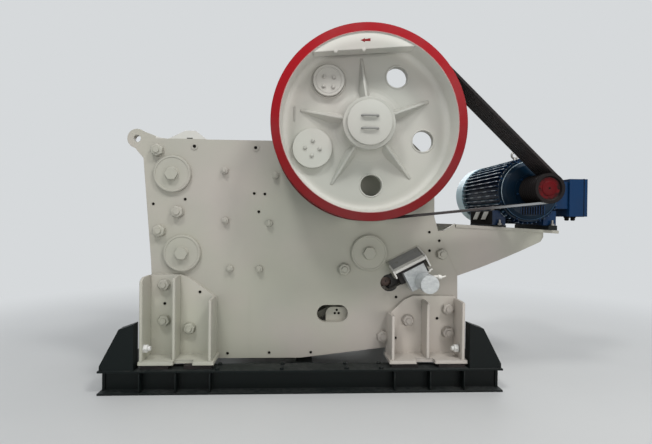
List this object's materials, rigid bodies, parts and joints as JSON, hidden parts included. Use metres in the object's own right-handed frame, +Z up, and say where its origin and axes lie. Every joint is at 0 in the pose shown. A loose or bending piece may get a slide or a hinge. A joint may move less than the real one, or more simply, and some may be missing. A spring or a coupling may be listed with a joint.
{
  "type": "jaw crusher",
  "caption": "Single toggle jaw crusher on a steel skid, with a grooved drive wheel and flywheel on an eccentric shaft, V-belt drive and finned motor on a rear bracket.",
  "frame": {"origin": "on the ground under the middle of the machine's overall length and width", "axes": "+X from the feed end to the motor end, +Y from the drive side to the far side, +Z up"},
  "size_m": [4.34, 2.3486, 3.073],
  "materials": {
    "machine_paint": "satin off-white machine paint",
    "rim_paint": "satin red paint",
    "raw_steel": "turned and oiled",
    "manganese_steel": "as cast",
    "pale_cylinder": "pale grey-white, wrapped for transport",
    "motor_paint": "deep blue enamel",
    "belt_rubber": "matt black rubber",
    "skid_paint": "near-black satin paint"
  },
  "bodies": {
    "frame": {"side_plate_near": "machine_paint", "side_plate_far": "machine_paint", "front_frame": "machine_paint", "rear_frame": "machine_paint", "fixed_jaw_plate": "manganese_steel", "fixed_jaw_clamp": "machine_paint", "cheek_plates_near": "manganese_steel", "cheek_plates_far": "manganese_steel", "frame_pin_caps": "machine_paint", "bearing_housing_near": "machine_paint", "bearing_housing_far": "machine_paint", "toggle_plate": "raw_steel", "toggle_block": "machine_paint", "adjusting_wedges": "raw_steel", "wedge_brackets": "machine_paint", "wedge_cylinders": "pale_cylinder", "tension_rod": "raw_steel", "tension_spring": "raw_steel", "motor_platform": "machine_paint", "motor_gussets": "machine_paint", "motor_rails": "machine_paint", "motor_housing": "motor_paint", "motor_end_shield": "motor_paint", "motor_fan_cowl": "motor_paint", "motor_terminal_box": "motor_paint", "v_belts": "belt_rubber", "front_foot_near": "machine_paint", "front_foot_far": "machine_paint", "rear_foot_near": "machine_paint", "rear_foot_far": "machine_paint", "rubber_mounts": "belt_rubber", "skid_beam_near": "skid_paint", "skid_beam_far": "skid_paint", "skid_cross_beams": "skid_paint", "skid_end_stops": "skid_paint"},
    "crankshaft": {"eccentric_shaft": "raw_steel", "drive_wheel": "machine_paint", "fly_wheel": "machine_paint", "hub_caps": "machine_paint", "balance_discs": "machine_paint"},
    "swing_jaw": {"swing_jaw": "machine_paint", "swing_jaw_plate": "manganese_steel", "swing_jaw_clamp": "machine_paint"},
    "motor_rotor": {"motor_shaft": "raw_steel", "motor_pulley": "rim_paint"}
  },
  "joints": [
    {"name": "shaft_spin", "type": "hinge", "parent": "frame", "child": "crankshaft", "pos_m": [0.052, 0, 2.268], "axis": [0, -1, 0], "continuous": true},
    {"name": "jaw_swing", "type": "hinge", "parent": "crankshaft", "child": "swing_jaw", "pos_m": [0.052, 0, 2.253], "axis": [0, -1, 0], "continuous": true},
    {"name": "motor_spin", "type": "hinge", "parent": "frame", "child": "motor_rotor", "pos_m": [1.57, -0.98, 1.752], "axis": [0, -1, 0], "continuous": true}
  ],
  "couplings": [
    {"joint": "jaw_swing", "follows": "shaft_spin", "ratio": -1},
    {"joint": "motor_spin", "follows": "shaft_spin", "ratio": 6.69}
  ]
}
